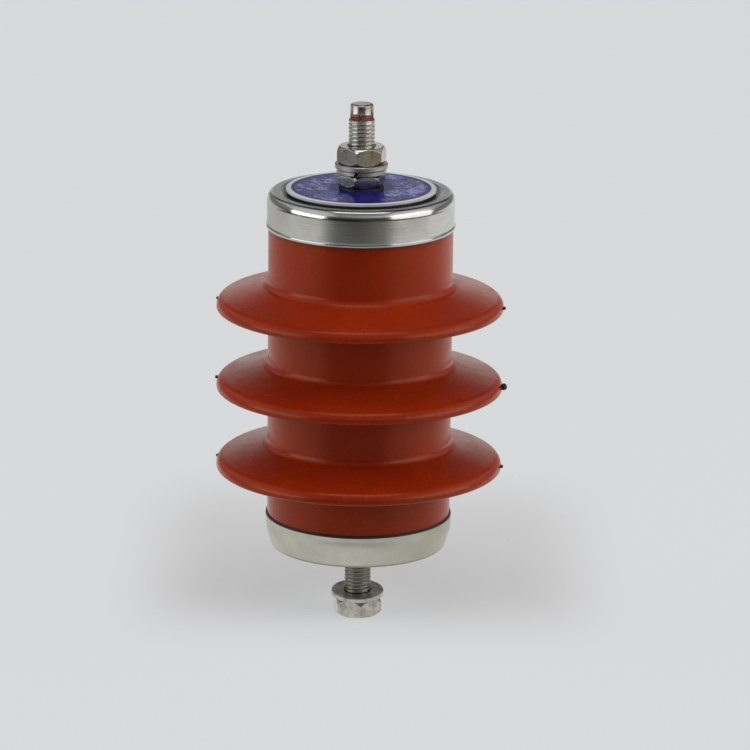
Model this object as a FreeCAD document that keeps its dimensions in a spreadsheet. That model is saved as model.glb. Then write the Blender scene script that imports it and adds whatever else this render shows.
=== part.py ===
# Sheath voltage limiter for the metal screen of a power cable.
#
# It stands upright on its earth terminal, with +Z up the stack and the origin
# at the centre of the earth nut's lower face. A silicone rubber housing with
# three sheds is moulded on a glass fibre tube. The tube holds a column of
# varistor discs between two electrodes, and a pressed steel cap with a threaded
# stud closes each end. All sizes are in millimetres and all turns in degrees.
import FreeCAD, Part
import os
import re
import Sketcher

Vector = FreeCAD.Vector

SIZES = {
    # M10 studs
    "stud_radius": 5.0,
    "stud_chamfer": 0.8,
    "thread_engagement": 18.0,
    "tapping_allowance": 2.0,
    "thread_gap": 0.05,
    "bare_thread_undersize": 0.05,
    "bare_thread_standoff": 0.6,
    "bare_thread_length": 9.5,
    "stud_hole_gap": 0.5,
    "tip_radius": 4.35,
    "tip_length": 6.0,
    "tip_round": 0.9,
    "earth_stud_recess": 0.8,
    "earth_stud_reach": 21.5,
    # Terminal nuts and the thin nuts that hold the caps
    "terminal_nut_flats": 17.0,
    "terminal_nut_height": 6.6,
    "cap_nut_flats": 16.0,
    "cap_nut_height": 5.0,
    "nut_chamfer_angle": 48.0,
    "nut_face_inset": 0.25,
    "nut_countersink": 0.6,
    "terminal_nut_turn": -10.5,
    "cap_nut_turn": -15.5,
    "earth_nut_turn": 9.6,
    # Washers
    "washer_radius": 10.0,
    "washer_hole_gap": 0.35,
    "washer_thickness": 1.9,
    "washer_edge": 0.25,
    "earth_washer_tilt": 5.4,
    "spring_washer_radius": 9.4,
    "spring_washer_thickness": 1.8,
    "spring_washer_slot": 1.4,
    "spring_washer_slant": 25.0,
    "spring_washer_turn": -12.0,
    "seal_washer_overhang": 0.5,
    "seal_washer_thickness": 0.9,
    # Nameplate
    "nameplate_margin": 1.1,
    "nameplate_thickness": 0.9,
    "nameplate_edge": 0.2,
    "nameplate_gasket_setback": 0.7,
    "nameplate_gasket_thickness": 1.0,
    # Pressed steel caps
    "cap_overhang": 0.5,
    "cap_wall": 0.8,
    "cap_lip_height": 1.6,
    "top_cap_depth": 12.9,
    "top_bead_height": 1.5,
    "top_bead_reach": 0.4,
    "top_bead_round": 0.6,
    "top_shoulder_length": 2.5,
    "top_shoulder_lean": 30.0,
    "top_shoulder_round": 5.4,
    "top_corner_radius": 1.7,
    "top_rim_rise": 0.55,
    "top_rim_width": 4.4,
    "top_rim_slope_width": 1.6,
    "bottom_lip_flare": 0.1,
    "bottom_skirt_height": 3.1,
    "bottom_taper_height": 7.5,
    "bottom_taper_inset": 2.2,
    "bottom_taper_round": 12.0,
    "bottom_corner_radius": 1.4,
    # Seals at the ends of the tube and around the lower cap
    "end_gasket_overhang": 1.0,
    "end_gasket_thickness": 1.5,
    "sealant_height": 0.9,
    "sealant_setback": 0.05,
    "sealant_top": 0.2,
    # Silicone rubber housing
    "housing_wall": 4.7,
    "shed_count": 3,
    "shed_overhang": 19.5,
    "lip_to_shed": 18.3,
    "shed_to_top_lip": 32.1,
    "shed_edge_flat": 0.18,
    "shed_top_slope": 16.3,
    "shed_under_slope": 4.0,
    "shed_top_round": 3.8,
    "shed_under_round": 1.0,
    "shed_top_fillet": 3.0,
    "shed_under_fillet": 2.0,
    "bond_gap": 0.1,
    "gate_mark_width": 1.3,
    "gate_mark_height": 1.5,
    "gate_mark_taper": 0.35,
    "gate_mark_reach": 0.9,
    "gate_stub_reach": 1.7,
    "gate_trace_reach": 0.5,
    "gate_mark_root": 1.5,
    "parting_turn": -6.0,
    # Insulating tube
    "tube_wall": 3.0,
    # Varistor column
    "column_radius": 26.5,
    "column_clearance": 0.7,
    "disc_count": 3,
    "disc_height": 24.0,
    "disc_edge": 0.6,
    "contact_plate_thickness": 1.0,
    "contact_plate_edge": 0.25,
    "contact_plate_setback": 1.0,
    "pressure_plate_thickness": 3.0,
    "lower_electrode_web": 4.0,
    "upper_electrode_web": 8.1,
    "electrode_edge": 1.0,
    "disc_spring_setback": 2.0,
    "disc_spring_hole": 12.5,
    "disc_spring_thickness": 2.0,
    "disc_spring_cone": 1.5,
}

# What follows from the sizes, each written in their names and in each other's
DERIVED = {
    # Radii, from the column outwards
    "tube_bore": "column_radius + column_clearance",
    "tube_radius": "tube_bore + tube_wall",
    "core_radius": "tube_radius + housing_wall",
    "shed_radius": "core_radius + shed_overhang",
    "cap_radius": "core_radius + cap_overhang",
    "cap_inside": "cap_radius - cap_wall",
    "housing_end_radius": "cap_inside - bond_gap",
    "end_gasket_radius": "tube_radius + end_gasket_overhang",
    "top_rim_radius": "cap_radius - top_rim_width",
    "top_slope_foot": "top_rim_radius - top_rim_slope_width",
    "nameplate_radius": "top_slope_foot - nameplate_margin",
    "nameplate_gasket_radius": "nameplate_radius - nameplate_gasket_setback",
    "bottom_floor_radius": "cap_radius - bottom_taper_inset",
    "contact_plate_radius": "column_radius - contact_plate_setback",
    "disc_spring_radius": "column_radius - disc_spring_setback",
    # Radii around the studs
    "thread_bore": "stud_radius + thread_gap",
    "stud_hole": "stud_radius + stud_hole_gap",
    "washer_hole": "stud_radius + washer_hole_gap",
    "bare_thread_radius": "stud_radius - bare_thread_undersize",
    "nut_face_radius": "terminal_nut_flats / 2 - nut_face_inset",
    "seal_washer_radius": "cap_nut_flats / 2 + seal_washer_overhang",
    # Heights up the stack to the tube's upper end
    "earth_washer_base": "terminal_nut_height + nut_face_radius * tan(earth_washer_tilt)",
    "bottom_cap_base": "terminal_nut_height + earth_stud_reach",
    "bottom_cap_depth": "bottom_taper_height + bottom_skirt_height + cap_lip_height",
    "earth_seal_base": "bottom_cap_base - seal_washer_thickness",
    "earth_cap_nut_base": "earth_seal_base - cap_nut_height",
    "lower_lip": "bottom_cap_base + bottom_cap_depth",
    "lower_floor": "bottom_cap_base + cap_wall",
    "lower_end": "lower_floor + end_gasket_thickness",
    "electrode_bore_depth": "thread_engagement + tapping_allowance",
    "lower_electrode_height": "electrode_bore_depth + lower_electrode_web",
    "column_base": "lower_floor + lower_electrode_height",
    "disc_step": "disc_height + contact_plate_thickness",
    "column_top": "column_base + disc_count * disc_step - contact_plate_thickness",
    "spring_base": "column_top + pressure_plate_thickness",
    "disc_spring_height": "disc_spring_thickness + disc_spring_cone",
    "upper_electrode_base": "spring_base + 2 * disc_spring_height",
    "upper_electrode_height": "electrode_bore_depth + upper_electrode_web",
    "upper_ceiling": "upper_electrode_base + upper_electrode_height",
    "upper_end": "upper_ceiling - end_gasket_thickness",
    "housing_height": "upper_end - lower_end",
    # Heights above the tube
    "top_cap_face": "upper_ceiling + cap_wall",
    "top_lip": "top_cap_face - top_cap_depth",
    "nameplate_base": "top_cap_face + nameplate_gasket_thickness",
    "stud_seal_base": "nameplate_base + nameplate_thickness",
    "cap_nut_base": "stud_seal_base + seal_washer_thickness",
    "spring_washer_base": "cap_nut_base + cap_nut_height",
    "flat_washer_base": "spring_washer_base + spring_washer_thickness",
    "terminal_nut_base": "flat_washer_base + washer_thickness",
    "bare_thread_base": "terminal_nut_base + terminal_nut_height + bare_thread_standoff",
    # Heights of the sheds' lower corners above the housing's lower end
    "housing_lower_lip": "lower_lip - lower_end",
    "housing_top_lip": "top_lip - lower_end",
    "first_shed": "housing_lower_lip + lip_to_shed",
    "last_shed": "housing_top_lip - shed_to_top_lip",
    "shed_pitch": "(last_shed - first_shed) / (shed_count - 1)",
    # The sheds' section
    "shed_top_bend": "shed_top_round * tan(45 - shed_top_slope / 2)",
    "shed_under_bend": "shed_under_round * tan(45 + shed_under_slope / 2)",
    "shed_edge_thickness": "shed_edge_flat + shed_top_bend + shed_under_bend",
    "shed_root_radius": "(core_radius + tube_radius) / 2",
}

ACROSS = Vector(1, 0, 0)
UPWARDS = Vector(0, 0, 1)
UPSIDE_DOWN = "180"
HEXAGON_SIDES = 6

doc = FreeCAD.newDocument("sheath_voltage_limiter")
sheet = doc.addObject("Spreadsheet::Sheet", "sizes")


def fill_sheet():
    """Write each size to a cell of its own, under its alias."""
    for row, (name, number) in enumerate(SIZES.items(), start=1):
        sheet.set(f"A{row}", name)
        sheet.set(f"B{row}", str(number))
        sheet.setAlias(f"B{row}", name)
    doc.recompute()


def meaning(word):
    """Give the cell or the expression that a word stands for."""
    name = word.group()
    if name in SIZES:
        return f"sizes.{name}"
    if name in DERIVED:
        return f"({bound(DERIVED[name])})"
    return name


def bound(text):
    """Return an expression with each of its words tied to the sheet."""
    return re.sub(r"[a-z][a-z_]+[a-z]", meaning, text)


def value(text):
    """Work out an expression now."""
    return float(sheet.evalExpression(bound(text)))


def stand(piece, base="0", turn="0", axis=UPWARDS):
    """Place a piece on the stack's axis at a height, turned about an axis."""
    rotation = FreeCAD.Rotation(axis, value(turn))
    piece.Placement = FreeCAD.Placement(Vector(0, 0, value(base)), rotation)
    piece.setExpression("Placement.Base.z", bound(base))
    if turn != "0":
        piece.setExpression("Placement.Rotation.Angle", bound(turn))


def new_body(label):
    """Start one sub-part."""
    body = doc.addObject("PartDesign::Body", label)
    body.Label = label
    return body


def origin_feature(body, role):
    """Find one of a body's own origin planes or axes."""
    return next(item for item in body.Origin.OriginFeatures if item.Role == role)


def new_sketch(body, name, role):
    """Start a sketch on one of the body's origin planes."""
    sketch = body.newObject("Sketcher::SketchObject", name)
    sketch.AttachmentSupport = [(origin_feature(body, role), "")]
    sketch.MapMode = "FlatFace"
    return sketch


def hold_point(sketch, name, line, across, up):
    """Tie the start of a sketch's line to its distances from the origin."""
    for letter, kind, axis, text in (("x", "DistanceX", -2, across), ("y", "DistanceY", -1, up)):
        if text == "0":
            sketch.addConstraint(Sketcher.Constraint("PointOnObject", line, 1, axis))
            continue
        index = sketch.addConstraint(Sketcher.Constraint(kind, -1, 1, line, 1, value(text)))
        sketch.renameConstraint(index, name + letter)
        sketch.setExpression(f"Constraints.{name}{letter}", bound(text))


def draw_outline(sketch, corners, name="corner"):
    """Draw a closed outline of straight sides through corners given as expressions."""
    first = sketch.GeometryCount
    count = len(corners)
    places = [Vector(value(across), value(up), 0) for across, up in corners]
    for index, place in enumerate(places):
        sketch.addGeometry(Part.LineSegment(place, places[(index + 1) % count]), False)
    for index in range(count):
        follower = first + (index + 1) % count
        sketch.addConstraint(Sketcher.Constraint("Coincident", first + index, 2, follower, 1))
    for index, (across, up) in enumerate(corners):
        hold_point(sketch, f"{name}{index}", first + index, across, up)


def turned(body, name, corners, kind="PartDesign::Revolution"):
    """Turn an outline of radius and height about the axis, to add or to cut."""
    sketch = new_sketch(body, f"{name}_outline", "XZ_Plane")
    draw_outline(sketch, corners)
    feature = body.newObject(kind, name)
    feature.Profile = sketch
    feature.ReferenceAxis = (sketch, ["V_Axis"])
    feature.Angle = 360
    doc.recompute()
    return feature


def turned_cut(body, name, corners):
    """Turn an outline about the axis and take it away."""
    volume = body.Shape.Volume
    feature = turned(body, name, corners, "PartDesign::Groove")
    require_less(body, name, volume)
    return feature


def require_less(body, name, volume):
    """Stop if a cut took nothing away."""
    if body.Shape.Volume >= volume:
        raise RuntimeError(f"{name} cut nothing from {body.Label}")


def ring_edges(shape, rings):
    """Name the round edges about the axis with the given radii and heights."""
    touch = 1e-4
    wanted = [(value(radius), value(height)) for radius, height in rings]
    names = []
    for number, edge in enumerate(shape.Edges, start=1):
        if not isinstance(edge.Curve, Part.Circle):
            continue
        centre = edge.Curve.Center
        for radius, height in wanted:
            if abs(edge.Curve.Radius - radius) < touch and abs(centre.z - height) < touch:
                names.append(f"Edge{number}")
    return names


def rounded(body, name, base, rings, radius):
    """Round the given rings of the last feature."""
    feature = body.newObject("PartDesign::Fillet", name)
    feature.Base = (base, ring_edges(base.Shape, rings))
    feature.setExpression("Radius", bound(radius))
    doc.recompute()
    return feature


def bevelled(body, name, base, rings, size):
    """Bevel the given rings of the last feature."""
    feature = body.newObject("PartDesign::Chamfer", name)
    feature.Base = (base, ring_edges(base.Shape, rings))
    feature.setExpression("Size", bound(size))
    doc.recompute()
    return feature


def make_ring(label, inner, outer, height, base):
    """Make a plain ring or tube with square edges."""
    body = new_body(label)
    turned(body, f"{label}_ring", [(inner, "0"), (outer, "0"), (outer, height), (inner, height)])
    stand(body, base)
    return body


def make_disc(label, radius, height, edge, base):
    """Make a solid disc with bevelled edges."""
    body = new_body(label)
    corners = [("0", "0"), (radius, "0"), (radius, height), ("0", height)]
    disc = turned(body, f"{label}_disc", corners)
    bevelled(body, f"{label}_edge", disc, [(radius, "0"), (radius, height)], edge)
    stand(body, base)
    return body


def draw_hexagon(sketch, flats):
    """Draw a hexagon about the origin with one corner on the sketch's upright axis."""
    across_corners = f"{flats} / cos(30)"
    radius = value(across_corners) / 2
    places = []
    for index in range(HEXAGON_SIDES):
        spoke = FreeCAD.Rotation(UPWARDS, 90 + index * 360 / HEXAGON_SIDES)
        places.append(spoke.multVec(Vector(radius, 0, 0)))
    for index, place in enumerate(places):
        following = places[(index + 1) % HEXAGON_SIDES]
        sketch.addGeometry(Part.LineSegment(place, following), False)
    circle = sketch.addGeometry(Part.Circle(Vector(0, 0, 0), UPWARDS, radius), True)
    sketch.addConstraint(Sketcher.Constraint("Coincident", circle, 3, -1, 1))
    for index in range(HEXAGON_SIDES):
        follower = (index + 1) % HEXAGON_SIDES
        sketch.addConstraint(Sketcher.Constraint("Coincident", index, 2, follower, 1))
        sketch.addConstraint(Sketcher.Constraint("PointOnObject", index, 1, circle))
    for index in range(1, HEXAGON_SIDES):
        sketch.addConstraint(Sketcher.Constraint("Equal", 0, index))
    sketch.addConstraint(Sketcher.Constraint("PointOnObject", 0, 1, -2))
    size = sketch.addConstraint(Sketcher.Constraint("Diameter", circle, 2 * radius))
    sketch.renameConstraint(size, "across_corners")
    sketch.setExpression("Constraints.across_corners", bound(across_corners))


def make_nut(label, flats, height, base, turn):
    """Make a hexagon nut with both faces chamfered and the bore countersunk."""
    body = new_body(label)
    sketch = new_sketch(body, f"{label}_hexagon", "XY_Plane")
    draw_hexagon(sketch, flats)
    blank = body.newObject("PartDesign::Pad", f"{label}_blank")
    blank.Profile = sketch
    blank.setExpression("Length", bound(height))
    doc.recompute()
    face = f"({flats} / 2 - nut_face_inset)"
    outside = f"({flats} / 2 / cos(30) + nut_face_inset)"
    drop = f"({outside} - {face}) * tan(nut_chamfer_angle)"
    turned_cut(body, f"{label}_lower_chamfer", [(face, "0"), (outside, "0"), (outside, drop)])
    upper = [(face, height), (outside, f"{height} - {drop}"), (outside, height)]
    turned_cut(body, f"{label}_upper_chamfer", upper)
    mouth = "thread_bore + nut_countersink"
    bore = [
        ("0", "0"),
        (mouth, "0"),
        ("thread_bore", "nut_countersink"),
        ("thread_bore", f"{height} - nut_countersink"),
        (mouth, height),
        ("0", height),
    ]
    turned_cut(body, f"{label}_bore", bore)
    stand(body, base, turn)
    return body


def washer_ring(body, radius, thickness):
    """Make a washer's ring with its outer edges broken."""
    corners = [
        ("washer_hole", "0"),
        (radius, "0"),
        (radius, thickness),
        ("washer_hole", thickness),
    ]
    ring = turned(body, f"{body.Label}_ring", corners)
    bevelled(body, f"{body.Label}_edge", ring, [(radius, "0"), (radius, thickness)], "washer_edge")


def make_washer(label, base, turn="0", axis=UPWARDS):
    """Make a flat washer."""
    body = new_body(label)
    washer_ring(body, "washer_radius", "washer_thickness")
    stand(body, base, turn, axis)
    return body


def make_spring_washer():
    """Make the split spring washer, pressed flat, with its slanted slot."""
    body = new_body("spring_washer")
    washer_ring(body, "spring_washer_radius", "spring_washer_thickness")
    volume = body.Shape.Volume
    below = "-spring_washer_thickness"
    above = "2 * spring_washer_thickness"
    corners = []
    for height, side in ((below, "-1"), (below, "1"), (above, "1"), (above, "-1")):
        lean = f"({height} - spring_washer_thickness / 2) * tan(spring_washer_slant)"
        corners.append((f"{side} * spring_washer_slot / 2 + {lean}", height))
    outline = new_sketch(body, "spring_washer_slot_outline", "XZ_Plane")
    draw_outline(outline, corners)
    slot = body.newObject("PartDesign::Pocket", "spring_washer_cut")
    slot.Profile = outline
    slot.Reversed = True
    slot.setExpression("Length", bound("spring_washer_radius + spring_washer_slot"))
    doc.recompute()
    require_less(body, "spring_washer_cut", volume)
    stand(body, "spring_washer_base", "spring_washer_turn")
    return body


def make_terminal_stud():
    """Make the upper stud: engaged thread, bare thread and a plain rounded tip."""
    foot = "(upper_ceiling - thread_engagement)"
    bare = f"(bare_thread_base - {foot})"
    shoulder = f"({bare} + bare_thread_length)"
    top = f"({shoulder} + tip_length)"
    body = new_body("terminal_stud")
    corners = [
        ("0", "0"),
        ("stud_radius - stud_chamfer", "0"),
        ("stud_radius", "stud_chamfer"),
        ("stud_radius", bare),
        ("bare_thread_radius", bare),
        ("bare_thread_radius", shoulder),
        ("tip_radius", f"{shoulder} + bare_thread_radius - tip_radius"),
        ("tip_radius", top),
        ("0", top),
    ]
    bar = turned(body, "terminal_stud_bar", corners)
    rounded(body, "terminal_stud_tip", bar, [("tip_radius", top)], "tip_round")
    stand(body, foot)
    return body


def make_earth_stud():
    """Make the lower stud, which ends just inside the earth nut."""
    length = "(lower_floor + thread_engagement - earth_stud_recess)"
    body = new_body("earth_stud")
    corners = [
        ("0", "0"),
        ("stud_radius - stud_chamfer", "0"),
        ("stud_radius", "stud_chamfer"),
        ("stud_radius", f"{length} - stud_chamfer"),
        ("stud_radius - stud_chamfer", length),
        ("0", length),
    ]
    turned(body, "earth_stud_bar", corners)
    stand(body, "earth_stud_recess")
    return body


def make_electrode(label, height, base, turn="0"):
    """Make an aluminium electrode, drilled and tapped from its outer face."""
    body = new_body(label)
    corners = [("0", "0"), ("column_radius", "0"), ("column_radius", height), ("0", height)]
    block = turned(body, f"{label}_block", corners)
    rims = [("column_radius", "0"), ("column_radius", height)]
    bevelled(body, f"{label}_edge", block, rims, "electrode_edge")
    volume = body.Shape.Volume
    bore = value("thread_bore")
    centre = new_sketch(body, f"{label}_hole_outline", "XY_Plane")
    circle = centre.addGeometry(Part.Circle(Vector(0, 0, 0), UPWARDS, bore), False)
    centre.addConstraint(Sketcher.Constraint("Coincident", circle, 3, -1, 1))
    width = centre.addConstraint(Sketcher.Constraint("Diameter", circle, 2 * bore))
    centre.renameConstraint(width, "hole_width")
    centre.setExpression("Constraints.hole_width", bound("2 * thread_bore"))
    doc.recompute()
    hole = body.newObject("PartDesign::Hole", f"{label}_hole")
    hole.Profile = centre
    doc.recompute()
    hole.DepthType = "Dimension"
    hole.DrillPoint = "Angled"
    hole.Reversed = True
    hole.setExpression("Diameter", bound("2 * thread_bore"))
    hole.setExpression("Depth", bound("electrode_bore_depth"))
    doc.recompute()
    require_less(body, f"{label}_hole", volume)
    stand(body, base, turn, ACROSS)
    return body


def make_disc_spring(label, base, turn="0"):
    """Make one coned disc spring."""
    body = new_body(label)
    corners = [
        ("disc_spring_hole", "0"),
        ("disc_spring_radius", "disc_spring_cone"),
        ("disc_spring_radius", "disc_spring_height"),
        ("disc_spring_hole", "disc_spring_thickness"),
    ]
    turned(body, f"{label}_cone", corners)
    stand(body, base, turn, ACROSS)
    return body


def make_top_cap():
    """Make the upper cap: a pressed cup with a beaded lip, a rolled shoulder and a raised rim."""
    rim = "(top_cap_depth + top_rim_rise)"
    bulge = ("cap_radius + top_bead_reach", "top_bead_height / 2")
    bend = ("cap_radius", f"{rim} - top_shoulder_length * cos(top_shoulder_lean)")
    corner = ("cap_radius - top_shoulder_length * sin(top_shoulder_lean)", rim)
    inside_bend = ("cap_inside", f"{bend[1]} - cap_wall * tan(top_shoulder_lean / 2)")
    inside_reach = f"{corner[0]} - cap_wall * tan(45 - top_shoulder_lean / 2)"
    inside_corner = (inside_reach, f"{rim} - cap_wall")
    corners = [
        ("cap_radius + top_bead_reach / 2", "0"),
        bulge,
        ("cap_radius", "top_bead_height"),
        bend,
        corner,
        ("top_rim_radius", rim),
        ("top_slope_foot", "top_cap_depth"),
        ("stud_hole", "top_cap_depth"),
        ("stud_hole", "top_cap_depth - cap_wall"),
        ("top_slope_foot", "top_cap_depth - cap_wall"),
        ("top_rim_radius", f"{rim} - cap_wall"),
        inside_corner,
        inside_bend,
        ("cap_inside", "0"),
    ]
    body = new_body("top_cap")
    last = turned(body, "top_cap_cup", corners)
    bends = [
        ("bead", bulge, "top_bead_round"),
        ("bend", bend, "top_shoulder_round"),
        ("corner", corner, "top_corner_radius"),
        ("inside_bend", inside_bend, "top_shoulder_round - cap_wall"),
        ("inside_corner", inside_corner, "top_corner_radius - cap_wall"),
    ]
    for name, ring, size in bends:
        last = rounded(body, f"top_cap_{name}", last, [ring], size)
    stand(body, "top_lip")
    return body


def make_bottom_cap():
    """Make the lower cap: a pressed cup that draws in towards its floor."""
    lip_foot = "(bottom_cap_depth - cap_lip_height)"
    corners = [
        ("stud_hole", "0"),
        ("bottom_floor_radius", "0"),
        ("cap_radius", "bottom_taper_height"),
        ("cap_radius", lip_foot),
        ("cap_radius + bottom_lip_flare", "bottom_cap_depth"),
        ("cap_inside + bottom_lip_flare", "bottom_cap_depth"),
        ("cap_inside", lip_foot),
        ("cap_inside", "bottom_taper_height"),
        ("bottom_floor_radius - cap_wall", "cap_wall"),
        ("stud_hole", "cap_wall"),
    ]
    body = new_body("bottom_cap")
    cup = turned(body, "bottom_cap_cup", corners)
    bends = [("cap_radius", "bottom_taper_height"), ("cap_inside", "bottom_taper_height")]
    eased = rounded(body, "bottom_cap_bend", cup, bends, "bottom_taper_round")
    floor_edge = [("bottom_floor_radius", "0")]
    rounded(body, "bottom_cap_corner", eased, floor_edge, "bottom_corner_radius")
    stand(body, "bottom_cap_base")
    return body


def make_sealant():
    """Make the black bead that seals the lower cap's lip to the rubber."""
    foot = "cap_radius + bottom_lip_flare - sealant_setback"
    body = new_body("sealant_bead")
    corners = [
        ("core_radius", "0"),
        (foot, "0"),
        (foot, "sealant_height / 2"),
        ("core_radius + sealant_top", "sealant_height"),
        ("core_radius", "sealant_height"),
    ]
    turned(body, "sealant_bead_ring", corners)
    stand(body, "lower_lip")
    return body


def mould_sleeve(body):
    """Mould the housing's sleeve, which steps in where the caps cover it."""
    bend = "(bottom_taper_height - cap_wall - end_gasket_thickness)"
    drawn_in = f"bottom_taper_inset * {bend} / (bottom_taper_height - cap_wall)"
    corners = [
        ("tube_radius", "0"),
        (f"housing_end_radius - {drawn_in}", "0"),
        ("housing_end_radius", bend),
        ("housing_end_radius", "housing_lower_lip"),
        ("core_radius", "housing_lower_lip"),
        ("core_radius", "housing_top_lip"),
        ("housing_end_radius", "housing_top_lip"),
        ("housing_end_radius", "housing_height"),
        ("tube_radius", "housing_height"),
    ]
    sleeve = turned(body, "housing_sleeve", corners)
    rounded(body, "housing_bend", sleeve, [("housing_end_radius", bend)], "bottom_taper_round")


def mould_sheds(body, levels):
    """Mould the sheds: one section, repeated up the sleeve, with rounded rims and roots."""
    under_rise = "tan(shed_under_slope)"
    top_rise = "tan(shed_top_slope)"
    root_reach = "(shed_radius - shed_root_radius)"
    corners = [
        ("shed_root_radius", f"first_shed + {root_reach} * {under_rise}"),
        ("shed_radius", "first_shed"),
        ("shed_radius", "first_shed + shed_edge_thickness"),
        ("shed_root_radius", f"first_shed + shed_edge_thickness + {root_reach} * {top_rise}"),
    ]
    shed = turned(body, "housing_shed", corners)
    sheds = body.newObject("PartDesign::LinearPattern", "housing_sheds")
    sheds.Originals = [shed]
    sheds.Direction = (origin_feature(body, "Z_Axis"), [""])
    sheds.setExpression("Length", bound("last_shed - first_shed"))
    sheds.setExpression("Occurrences", bound("shed_count"))
    body.Tip = sheds
    doc.recompute()

    top_root = f"shed_edge_thickness + shed_overhang * {top_rise}"
    bends = [
        ("rim_top", "shed_radius", "shed_edge_thickness", "shed_top_round"),
        ("rim_under", "shed_radius", "0", "shed_under_round"),
        ("root_top", "core_radius", top_root, "shed_top_fillet"),
        ("root_under", "core_radius", f"shed_overhang * {under_rise}", "shed_under_fillet"),
    ]
    last = sheds
    for name, radius, rise, size in bends:
        rings = [(radius, f"{level} + {rise}") for level in levels]
        last = rounded(body, f"housing_{name}", last, rings, size)


def gate_reach(side, in_middle):
    """Choose how far a gate mark was left standing, the longest on the middle shed's right."""
    if side == "right":
        return "gate_stub_reach" if in_middle else "gate_mark_reach"
    return "gate_mark_reach" if in_middle else "gate_trace_reach"


def mould_gate_marks(body, levels):
    """Leave the mould's gate marks on the sheds' rims, at both ends of the parting line."""
    marks = new_sketch(body, "gate_mark_outlines", "XZ_Plane")
    middle = len(levels) // 2
    root = "(shed_radius - gate_mark_root)"
    for index, level in enumerate(levels):
        low = f"{level} + (shed_edge_thickness - gate_mark_height) / 2"
        high = f"{level} + (shed_edge_thickness + gate_mark_height) / 2"
        for side, sign in (("right", ""), ("left", "-")):
            end = f"(shed_radius + {gate_reach(side, index == middle)})"
            corners = [
                (sign + root, low),
                (sign + end, f"{low} + gate_mark_taper"),
                (sign + end, f"{high} - gate_mark_taper"),
                (sign + root, high),
            ]
            draw_outline(marks, corners, f"{side}{index}corner")
    stubs = body.newObject("PartDesign::Pad", "gate_marks")
    stubs.Profile = marks
    stubs.Midplane = True
    stubs.setExpression("Length", bound("gate_mark_width"))
    doc.recompute()


def make_housing():
    """Make the silicone housing, one moulding, turned so that its parting line shows."""
    body = new_body("silicone_housing")
    count = int(SIZES["shed_count"])
    levels = [f"first_shed + {index} * shed_pitch" for index in range(count)]
    mould_sleeve(body)
    mould_sheds(body, levels)
    mould_gate_marks(body, levels)
    stand(body, "lower_end", "parting_turn")
    return body


def make_nameplate():
    """Make the round nameplate, a blank disc with a hole for the stud."""
    body = new_body("nameplate")
    corners = [
        ("stud_hole", "0"),
        ("nameplate_radius", "0"),
        ("nameplate_radius", "nameplate_thickness"),
        ("stud_hole", "nameplate_thickness"),
    ]
    plate = turned(body, "nameplate_disc", corners)
    rim = [("nameplate_radius", "nameplate_thickness")]
    bevelled(body, "nameplate_edge_bevel", plate, rim, "nameplate_edge")
    stand(body, "nameplate_base")
    return body


def make_varistor_column():
    """Stack the varistor discs with a contact plate between each two."""
    pieces = []
    count = int(SIZES["disc_count"])
    for index in range(count):
        label = f"varistor_disc_{index + 1}"
        base = f"column_base + {index} * disc_step"
        pieces.append(make_disc(label, "column_radius", "disc_height", "disc_edge", base))
    thick = "contact_plate_thickness"
    for index in range(count - 1):
        label = f"contact_plate_{index + 1}"
        base = f"column_base + {index} * disc_step + disc_height"
        pieces.append(make_disc(label, "contact_plate_radius", thick, "contact_plate_edge", base))
    return pieces


def make_column_ends():
    """Make the electrodes, and the plate and springs that press the column together."""
    thick = "pressure_plate_thickness"
    return [
        make_electrode("lower_electrode", "lower_electrode_height", "lower_floor"),
        make_electrode("upper_electrode", "upper_electrode_height", "upper_ceiling", UPSIDE_DOWN),
        make_disc("pressure_plate", "column_radius", thick, "disc_edge", "column_top"),
        make_disc_spring("lower_disc_spring", "spring_base"),
        make_disc_spring("upper_disc_spring", "upper_electrode_base", UPSIDE_DOWN),
    ]


def make_rings():
    """Make the insulating tube and the flat rubber rings."""
    end_seal = ("tube_bore", "end_gasket_radius", "end_gasket_thickness")
    plate_seal = ("stud_hole", "nameplate_gasket_radius", "nameplate_gasket_thickness")
    stud_seal = ("thread_bore", "seal_washer_radius", "seal_washer_thickness")
    return [
        make_ring("insulating_tube", "tube_bore", "tube_radius", "housing_height", "lower_end"),
        make_ring("lower_end_gasket", *end_seal, "lower_floor"),
        make_ring("upper_end_gasket", *end_seal, "upper_end"),
        make_ring("nameplate_gasket", *plate_seal, "top_cap_face"),
        make_ring("stud_seal_washer", *stud_seal, "stud_seal_base"),
        make_ring("earth_seal_washer", *stud_seal, "earth_seal_base"),
    ]


def make_fasteners():
    """Make the studs, nuts and washers of both terminals."""
    full_nut = ("terminal_nut_flats", "terminal_nut_height")
    thin_nut = ("cap_nut_flats", "cap_nut_height")
    return [
        make_terminal_stud(),
        make_earth_stud(),
        make_nut("terminal_nut", *full_nut, "terminal_nut_base", "terminal_nut_turn"),
        make_nut("cap_nut", *thin_nut, "cap_nut_base", "cap_nut_turn"),
        make_nut("earth_cap_nut", *thin_nut, "earth_cap_nut_base", "earth_nut_turn"),
        make_nut("earth_nut", *full_nut, "0", "earth_nut_turn"),
        make_spring_washer(),
        make_washer("flat_washer", "flat_washer_base"),
        make_washer("earth_washer", "earth_washer_base", "earth_washer_tilt", ACROSS),
    ]


def build():
    """Build every sub-part in its place."""
    fill_sheet()
    pieces = [
        make_housing(),
        make_top_cap(),
        make_bottom_cap(),
        make_sealant(),
        make_nameplate(),
    ]
    pieces += make_rings()
    pieces += make_varistor_column()
    pieces += make_column_ends()
    pieces += make_fasteners()
    doc.recompute()
    return pieces


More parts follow.
